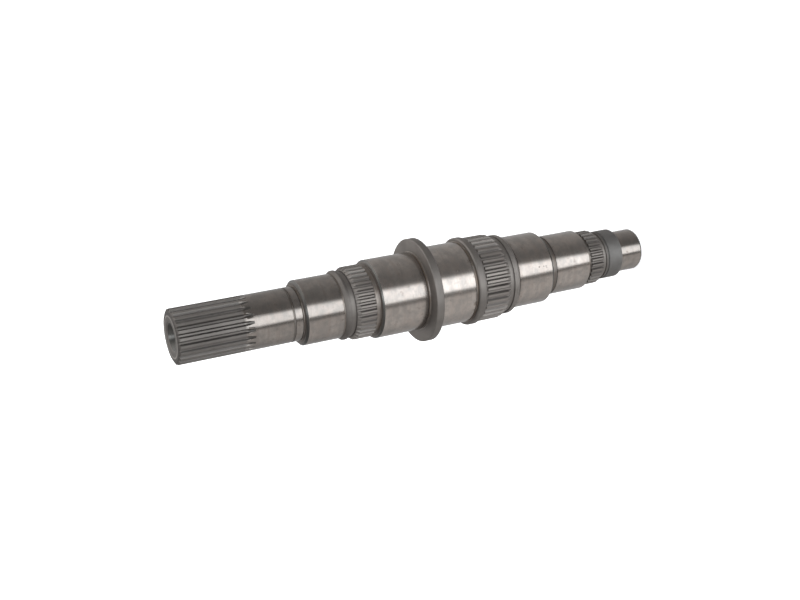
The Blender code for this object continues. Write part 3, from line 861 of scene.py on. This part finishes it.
def turned_steel(look):
    """Collar, rings, grooves and end faces: matt, with turning lines, brown beside the undercuts."""
    material, where = steel("turned_steel")
    lines = where.grain(TURNING_LINES)
    clouds = where.noise(80.0, detail=4.0)
    base = clouds.smooth(0.3, 0.75).blend(rgba(look.turned), rgba(look.turned, 0.82))
    stained = (where.mark("stain") * 0.6 + clouds * 0.5).smooth(0.45, 0.95)
    base = (stained * 0.55).blend(base, rgba(look.stain, 1.4))
    set_surface(where, base, 0.54 + clouds * 0.12, lines, depth=0.03 * MM)
    return material


def blued_steel(look):
    """The nut seat: unground, matt and a little blue."""
    material, where = steel("blued_steel")
    grain = where.noise(1600.0)
    clouds = where.noise(120.0, detail=4.0)
    base = clouds.smooth(0.35, 0.7).blend(rgba(look.blued), rgba(look.blued, 0.84))
    set_surface(where, base, 0.58 + grain * 0.14, grain, depth=0.04 * MM)
    return material


def stained_steel(look):
    """Undercuts and reliefs: baked oil in uneven brown rings over bright steel."""
    material, where = steel("stained_steel")
    rings = where.grain(OIL_RINGS)
    patches = where.noise(160.0, detail=4.0)
    worn = (rings * 0.6 + patches * 0.5).smooth(0.42, 0.7)
    base = worn.blend(rgba(look.stain), rgba(look.turned))
    set_surface(where, base, 0.38 + patches * 0.12, rings, depth=0.03 * MM)
    return material


def bored_steel(look):
    """Walls of the centre holes and chamfers of the journals: dark, with fine turning lines; oily on the
    chamfers, and painted shade in the holes.
    """
    material, where = steel("bored_steel")
    lines = where.grain(BORING_LINES)
    base = lines.smooth(0.3, 0.7).blend(rgba(look.bore), rgba(look.bore, 0.8))
    set_surface(where, base, 0.22 + lines * 0.12, lines, depth=0.02 * MM)
    return material


class SHAFT_OT_build(bpy.types.Operator):
    """Build the shaft's fine surface in place of the CAD node"""
    bl_idname = "output_shaft.build"
    bl_label = "Output Shaft"

    def execute(self, context):
        scene = context.scene
        surface = shaft_surface(scene.shaft_sizes, scene.shaft_chamfers, scene.shaft_splines)
        piece = mesh_object("output_shaft_surface", *surface)
        piece.data.materials.append(ground_steel(scene.shaft_look, scene.shaft_sizes))
        for make in (splined_steel, turned_steel, blued_steel, stained_steel, bored_steel):
            piece.data.materials.append(make(scene.shaft_look))
        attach(piece, "root")
        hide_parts(NODE)
        return {"FINISHED"}


# The photograph's view, in pixels of its 800 x 600 frame and in metres
IMAGE_WIDTH, IMAGE_HEIGHT = 800, 600
FOCAL_PIXELS = 1228.4
MIDDLE_PIXEL = (421.17, 288.94)
MIDDLE_HEIGHT = 152.6 * MM
METRES_PER_PIXEL = 0.6 * MM
SLOPE_IN_VIEW = math.radians(11.08)
TURN_FROM_VIEW = math.radians(23.88)
SENSOR_WIDTH = 36.0
CLIP_START = 10 * MM

WHITE = (1.0, 1.0, 1.0)
STRIP_TINT = (0.95, 1.0, 1.04)
# Compass directions at which the tent's level is set: 0.5 is -Y, towards the camera, and 0.75 is +X
TENT_STOPS = (0.0, 0.14, 0.26, 0.388, 0.406, 0.431, 0.441, 0.527, 0.555, 0.64, 0.76, 0.86, 1.0)
# The levels there of its lower and upper half, as numbers or by their names in the studio look
STRIP, PALE, FLAG = "band_level", "tent_level", "flag_level"
TENT_BELOW = (0.5, 0.6, PALE, PALE, FLAG, FLAG, STRIP, STRIP, FLAG, FLAG, 0.56, 0.62, 0.5)
TENT_ABOVE = (0.95, 0.45, 0.6, PALE, FLAG, FLAG, STRIP, STRIP, FLAG, 0.8, 1.9, 1.9, 0.95)
# Sines of the elevations between which the lower half of the tent passes into the upper half
TENT_RISE = (0.0, 0.35)

FLOOR_HALF_SIZE = 30.0
# The floor's grey, and what it glows with to the camera to be white
FLOOR_GREY, FLOOR_GLOW = 0.9, 0.5


def photo_camera():
    """The camera's place and turn, worked out from where the shaft's middle and axis lie in its view.

    In the camera's own right, down, forward directions the shaft's middle is at m and the way down the
    shaft is d. World +Z is then -d, world -Y is the way n from the shaft square to d towards the camera,
    and world X is n x d.
    """
    middle = Vector((MIDDLE_PIXEL[0] - IMAGE_WIDTH / 2, MIDDLE_PIXEL[1] - IMAGE_HEIGHT / 2, FOCAL_PIXELS))
    middle *= METRES_PER_PIXEL
    down = Vector((math.cos(TURN_FROM_VIEW) * math.cos(SLOPE_IN_VIEW),
                   -math.cos(TURN_FROM_VIEW) * math.sin(SLOPE_IN_VIEW), math.sin(TURN_FROM_VIEW)))
    near = (down * middle.dot(down) - middle).normalized()
    side = near.cross(down)
    to_world = Matrix((side, -near, -down))
    place = Vector((0.0, 0.0, MIDDLE_HEIGHT)) - to_world @ middle
    flip = Matrix(((1, 0, 0), (0, -1, 0), (0, 0, -1)))
    return place, (to_world @ flip).to_4x4()


def studio_world(look):
    """A tent of light whose level depends on the compass direction, and white for the camera.

    Its upper half, which the faces towards the nose mirror, is brighter towards +X.
    """
    world = bpy.data.worlds.new("studio")
    world.use_nodes = True
    tree = world.node_tree
    background = tree.nodes["Background"]
    way = Sock(tree).node("ShaderNodeTexCoord", {}, {}, "Generated")
    compass = way.math("ARCTAN2", way.part(0), 0.0 - way.part(1)) / (2 * math.pi) + 0.5

    def tone(level):
        """The colour for a level, given as a number or as the name of one in the look."""
        if isinstance(level, str):
            return rgba(STRIP_TINT if level == STRIP else WHITE, getattr(look, level))
        return rgba(WHITE, level)

    def half(levels):
        """One half of the tent: a ramp of tones round the compass."""
        stops = [(place, tone(level)) for place, level in zip(TENT_STOPS, levels)]
        return way.node("ShaderNodeValToRGB", {"stops": stops}, {"Fac": compass})

    tent = way.part(2).smooth(*TENT_RISE).blend(half(TENT_BELOW), half(TENT_ABOVE))
    camera_ray = way.node("ShaderNodeLightPath", {}, {}, "Is Camera Ray")
    shown = camera_ray.blend(tent, rgba(WHITE))
    tree.links.new(shown.socket, background.inputs["Color"])
    return world


def studio_floor():
    """A wide plain floor, white to the camera beyond the shaft's shadow, and clear to the steel's mirror."""
    mesh = bpy.data.meshes.new("floor")
    low, high = -FLOOR_HALF_SIZE, FLOOR_HALF_SIZE
    corners = [(low, low, 0.0), (high, low, 0.0), (high, high, 0.0), (low, high, 0.0)]
    mesh.from_pydata(corners, [], [(0, 1, 2, 3)])
    floor = bpy.data.objects.new("floor", mesh)
    bpy.context.scene.collection.objects.link(floor)
    material = bpy.data.materials.new("floor")
    material.use_nodes = True
    tree = material.node_tree
    tree.nodes.clear()
    output = tree.nodes.new("ShaderNodeOutputMaterial")
    camera_ray, glossy_ray = (Sock(tree).node("ShaderNodeLightPath", {}, {}, name)
                              for name in ("Is Camera Ray", "Is Glossy Ray"))
    diffuse = camera_ray.node("ShaderNodeBsdfDiffuse", {}, {"Color": rgba(WHITE, FLOOR_GREY)})
    glow = camera_ray.node("ShaderNodeEmission", {},
                           {"Color": rgba(WHITE), "Strength": camera_ray * FLOOR_GLOW})
    lit = camera_ray.node("ShaderNodeAddShader", {}, {0: diffuse, 1: glow})
    clear = camera_ray.node("ShaderNodeBsdfTransparent", {}, {})
    shown = camera_ray.node("ShaderNodeMixShader", {}, {0: glossy_ray, 1: lit, 2: clear})
    tree.links.new(shown.socket, output.inputs["Surface"])
    mesh.materials.append(material)


class SHAFT_OT_stage(bpy.types.Operator):
    """Set up the floor, the tent of light and the photograph's camera"""
    bl_idname = "output_shaft.stage"
    bl_label = "Studio"

    def execute(self, context):
        scene = context.scene
        scene.world = studio_world(scene.shaft_studio)
        studio_floor()
        lens = bpy.data.cameras.new("camera")
        lens.sensor_width = SENSOR_WIDTH
        lens.lens = FOCAL_PIXELS * SENSOR_WIDTH / IMAGE_WIDTH
        lens.clip_start = CLIP_START
        camera = bpy.data.objects.new("camera", lens)
        place, turn = photo_camera()
        camera.matrix_world = Matrix.Translation(place) @ turn
        scene.collection.objects.link(camera)
        scene.camera = camera
        scene.view_settings.view_transform = "Standard"
        return {"FINISHED"}


class SHAFT_PT_panel(bpy.types.Panel):
    """Sizes, colours and the operators in the 3D view's sidebar"""
    bl_label = "Output Shaft"
    bl_idname = "SHAFT_PT_panel"
    bl_space_type = "VIEW_3D"
    bl_region_type = "UI"
    bl_category = "Output Shaft"

    def draw(self, context):
        layout = self.layout
        scene = context.scene
        for group in (getattr(scene, name) for name in GROUPS):
            box = layout.box()
            for name in group.__annotations__:
                box.prop(group, name)
        layout.operator(SHAFT_OT_build.bl_idname)
        layout.operator(SHAFT_OT_stage.bl_idname)


GROUPS = {"shaft_sizes": ShaftSizes, "shaft_chamfers": ChamferSizes, "shaft_splines": SplineSizes,
          "shaft_look": SteelLook, "shaft_studio": StudioLook}
CLASSES = (*GROUPS.values(), SHAFT_OT_build, SHAFT_OT_stage, SHAFT_PT_panel)


def register():
    """Adds the classes, and a pointer to each group of settings on the scene."""
    for cls in CLASSES:
        bpy.utils.register_class(cls)
    for name, group in GROUPS.items():
        setattr(bpy.types.Scene, name, PointerProperty(type=group))


def unregister():
    """Takes away what register adds."""
    for name in GROUPS:
        delattr(bpy.types.Scene, name)
    for cls in reversed(CLASSES):
        bpy.utils.unregister_class(cls)


def main():
    """Builds the shaft and the studio."""
    register()
    bpy.ops.output_shaft.build()
    bpy.ops.output_shaft.stage()


if __name__ == "__main__":
    main()
